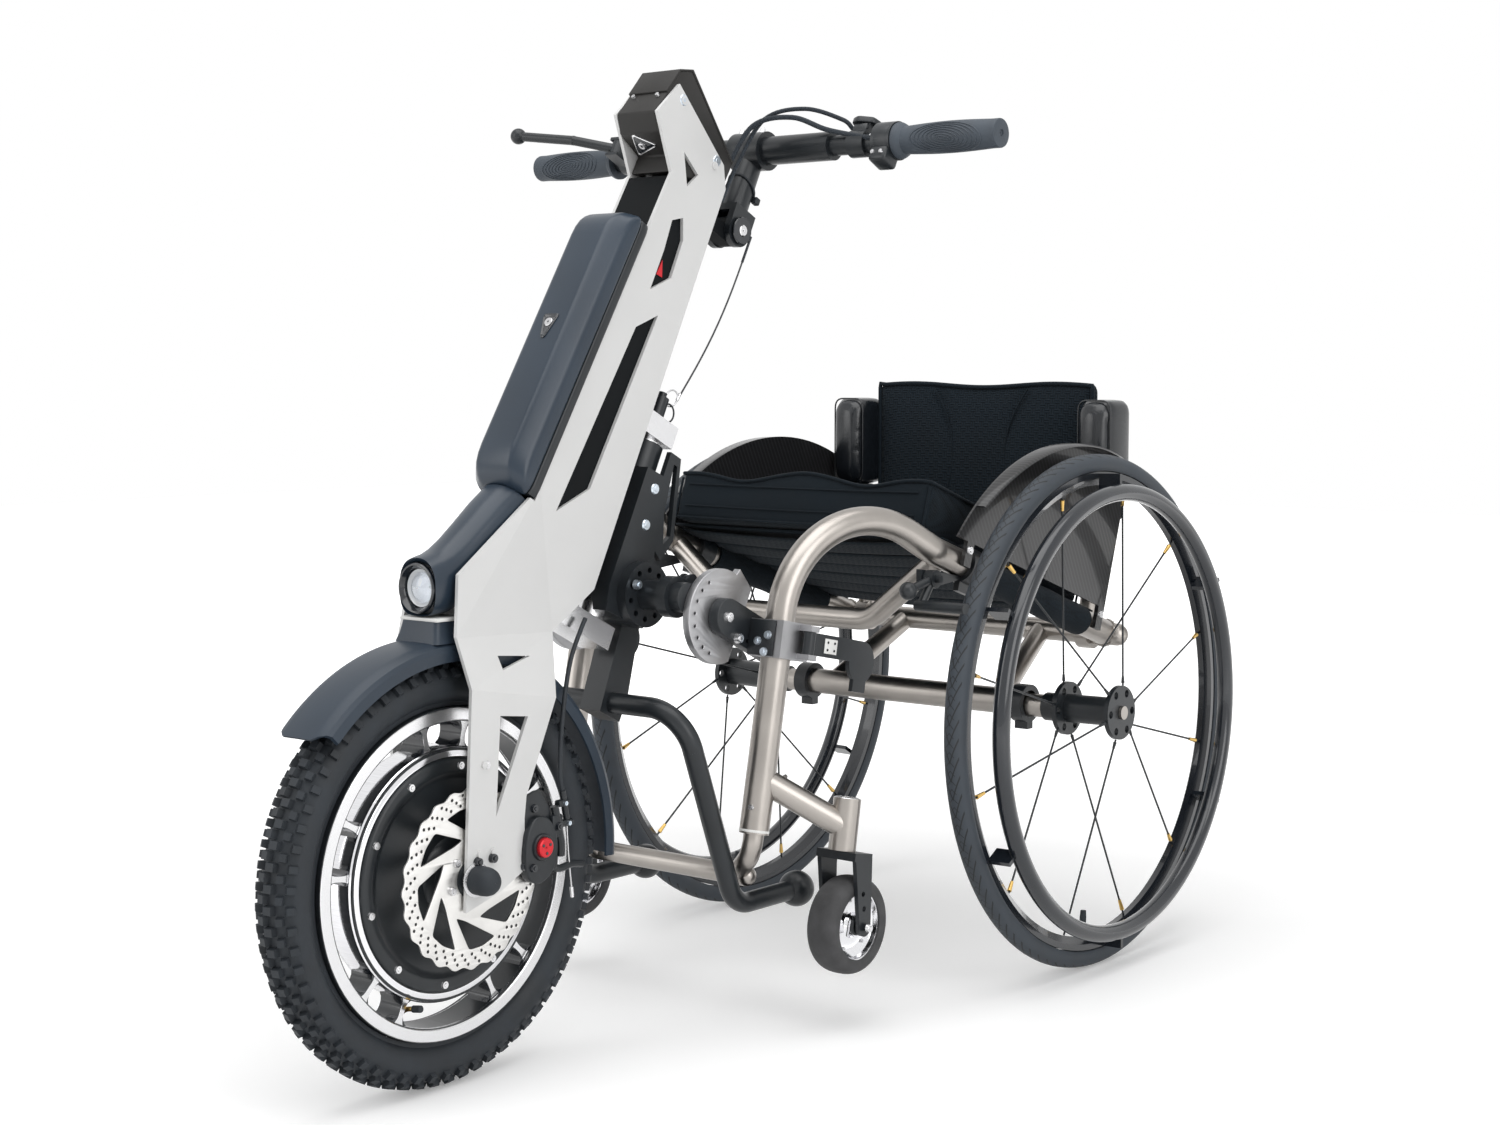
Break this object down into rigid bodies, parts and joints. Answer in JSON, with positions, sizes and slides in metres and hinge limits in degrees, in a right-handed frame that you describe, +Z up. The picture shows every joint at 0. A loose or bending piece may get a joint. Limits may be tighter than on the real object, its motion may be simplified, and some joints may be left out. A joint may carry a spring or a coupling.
{
  "type": "wheelchair with front power unit",
  "caption": "Rigid-frame manual wheelchair with a clamp-on electric front drive: leaning plate mast, hub-motor wheel and twist-grip handlebar.",
  "frame": {"origin": "on the floor under the middle of the object's length and width", "axes": "+Z up, -Y forward towards the driven front wheel, +X to the rider's left"},
  "size_m": [0.666, 1.338, 1.0288],
  "materials": {
    "titanium": "bead-blasted bare titanium",
    "black_alloy": "satin black anodised",
    "silver_alloy": "machined bare alloy",
    "plate_paint": "silver-grey powder coat",
    "tyre": "black tyre rubber",
    "rubber": "soft black rubber",
    "cloth": "black woven cover",
    "leather": "black grained leather",
    "carbon": "gloss black laminate",
    "case_plastic": "fine-grained black moulding",
    "lens": "clear moulded lens",
    "steel": "ground steel"
  },
  "bodies": {
    "chair": {"frame_left": "titanium", "frame_right": "titanium", "cross_tubes": "titanium", "camber_tube": "titanium", "frame_clamps": "black_alloy", "caster_mounts": "titanium", "footrest": "titanium", "seat_sling": "cloth", "seat_cushion": "cloth", "side_guards": "carbon", "head_housing": "black_alloy", "head_tube": "silver_alloy", "coupling_tube": "black_alloy", "coupling_arms": "silver_alloy", "tube_clamps": "silver_alloy", "parking_stand": "black_alloy"},
    "wheel_lock_left": {"wheel_lock_left": "black_alloy"},
    "wheel_lock_right": {"wheel_lock_right": "black_alloy"},
    "backrest": {"back_posts": "titanium", "back_upholstery": "cloth", "back_bolsters": "leather"},
    "rear_wheel_left": {"rear_tyre_left": "tyre", "rear_rim_left": "black_alloy", "rear_hub_left": "black_alloy", "handrim_left": "black_alloy"},
    "rear_wheel_right": {"rear_tyre_right": "tyre", "rear_rim_right": "black_alloy", "rear_hub_right": "black_alloy", "handrim_right": "black_alloy"},
    "caster_left": {"caster_fork_left": "black_alloy"},
    "caster_wheel_left": {"caster_wheel_left": "rubber"},
    "caster_right": {"caster_fork_right": "black_alloy"},
    "caster_wheel_right": {"caster_wheel_right": "rubber"},
    "clamp_lever_left": {"clamp_lever_left": "black_alloy"},
    "clamp_lever_right": {"clamp_lever_right": "black_alloy"},
    "qr_lever_left": {"qr_lever_left": "black_alloy"},
    "qr_lever_right": {"qr_lever_right": "black_alloy"},
    "steering": {"mast_plate_left": "plate_paint", "mast_plate_right": "plate_paint", "mast_cover": "black_alloy", "battery": "case_plastic", "controller_case": "case_plastic", "headlight": "case_plastic", "headlight_lens": "lens", "front_fender": "case_plastic", "front_axle": "steel", "pivot_blocks": "silver_alloy", "brake_caliper": "black_alloy"},
    "release_pin": {"release_pin": "black_alloy"},
    "front_wheel": {"front_tyre": "tyre", "front_rim": "silver_alloy", "hub_motor": "black_alloy", "brake_rotor": "steel"},
    "handlebar": {"stem": "black_alloy", "handlebar": "black_alloy", "grip_right": "rubber", "cables": "rubber"},
    "throttle": {"throttle": "rubber"},
    "brake_lever": {"brake_lever": "black_alloy"},
    "light_switch": {"light_switch": "case_plastic"}
  },
  "joints": [
    {"name": "rear_wheel_left_spin", "type": "hinge", "parent": "chair", "child": "rear_wheel_left", "pos_m": [0.262, 0.364, 0.30495], "axis": [0.9998, 0, 0.0175], "continuous": true},
    {"name": "rear_wheel_right_spin", "type": "hinge", "parent": "chair", "child": "rear_wheel_right", "pos_m": [-0.262, 0.364, 0.30495], "axis": [0.9998, 0, -0.0175], "continuous": true},
    {"name": "caster_left_swivel", "type": "hinge", "parent": "chair", "child": "caster_left", "pos_m": [0.2, -0.052, 0.19595], "axis": [0, 0.1736, 0.9848], "continuous": true},
    {"name": "caster_left_spin", "type": "hinge", "parent": "caster_left", "child": "caster_wheel_left", "pos_m": [0.2, -0.04504, 0.11451], "axis": [1, 0, 0], "continuous": true},
    {"name": "caster_right_swivel", "type": "hinge", "parent": "chair", "child": "caster_right", "pos_m": [-0.2, -0.052, 0.19595], "axis": [0, 0.1736, 0.9848], "continuous": true},
    {"name": "caster_right_spin", "type": "hinge", "parent": "caster_right", "child": "caster_wheel_right", "pos_m": [-0.2, -0.04504, 0.11451], "axis": [1, 0, 0], "continuous": true},
    {"name": "wheel_lock_left_hinge", "type": "hinge", "parent": "chair", "child": "wheel_lock_left", "pos_m": [0.213, 0.096, 0.47796], "axis": [1, 0, 0], "range_deg": [0, 19]},
    {"name": "wheel_lock_right_hinge", "type": "hinge", "parent": "chair", "child": "wheel_lock_right", "pos_m": [-0.213, 0.096, 0.47796], "axis": [1, 0, 0], "range_deg": [0, 19]},
    {"name": "backrest_fold", "type": "hinge", "parent": "chair", "child": "backrest", "pos_m": [0, 0.5, 0.37995], "axis": [1, 0, 0], "range_deg": [0, 12]},
    {"name": "clamp_lever_left_hinge", "type": "hinge", "parent": "chair", "child": "clamp_lever_left", "pos_m": [0.173, -0.07545, 0.41905], "axis": [0, -0.1947, -0.9809], "range_deg": [0, 110]},
    {"name": "clamp_lever_right_hinge", "type": "hinge", "parent": "chair", "child": "clamp_lever_right", "pos_m": [-0.173, -0.07545, 0.41905], "axis": [0, 0.1947, 0.9809], "range_deg": [0, 110]},
    {"name": "qr_lever_left_hinge", "type": "hinge", "parent": "chair", "child": "qr_lever_left", "pos_m": [0.078, -0.16183, 0.4869], "axis": [1, 0, 0], "range_deg": [0, 100]},
    {"name": "qr_lever_right_hinge", "type": "hinge", "parent": "chair", "child": "qr_lever_right", "pos_m": [-0.078, -0.16183, 0.4869], "axis": [1, 0, 0], "range_deg": [0, 100]},
    {"name": "steering_turn", "type": "hinge", "parent": "chair", "child": "steering", "pos_m": [0, -0.2229, 0.46421], "axis": [0, 0.4505, 0.8928], "range_deg": [-35, 35]},
    {"name": "release_pin_lift", "type": "slide", "parent": "steering", "child": "release_pin", "axis": [0, 0.4505, 0.8928], "range_m": [0, 0.008], "stiffness_N_per_m": 400, "springref_m": -0.004},
    {"name": "front_wheel_spin", "type": "hinge", "parent": "steering", "child": "front_wheel", "pos_m": [0, -0.455, 0.214], "axis": [1, 0, 0], "continuous": true},
    {"name": "stem_tilt", "type": "hinge", "parent": "steering", "child": "handlebar", "pos_m": [0, -0.00274, 0.86276], "axis": [1, 0, 0], "range_deg": [-20, 25], "deforming": ["cables"]},
    {"name": "throttle_twist", "type": "hinge", "parent": "handlebar", "child": "throttle", "pos_m": [0, 0.04321, 0.95383], "axis": [-1, 0, 0], "range_deg": [0, 70], "stiffness_Nm_per_rad": 0.5, "springref_deg": -11.46},
    {"name": "brake_lever_pull", "type": "hinge", "parent": "handlebar", "child": "brake_lever", "pos_m": [-0.184, 0.01821, 0.96644], "axis": [0, -0.4505, -0.8928], "range_deg": [0, 18], "stiffness_Nm_per_rad": 2, "springref_deg": -8.59},
    {"name": "light_switch_press", "type": "slide", "parent": "handlebar", "child": "light_switch", "axis": [0, 0.4505, 0.8928], "range_m": [-0.002, 0], "stiffness_N_per_m": 500, "springref_m": 0.002}
  ]
}
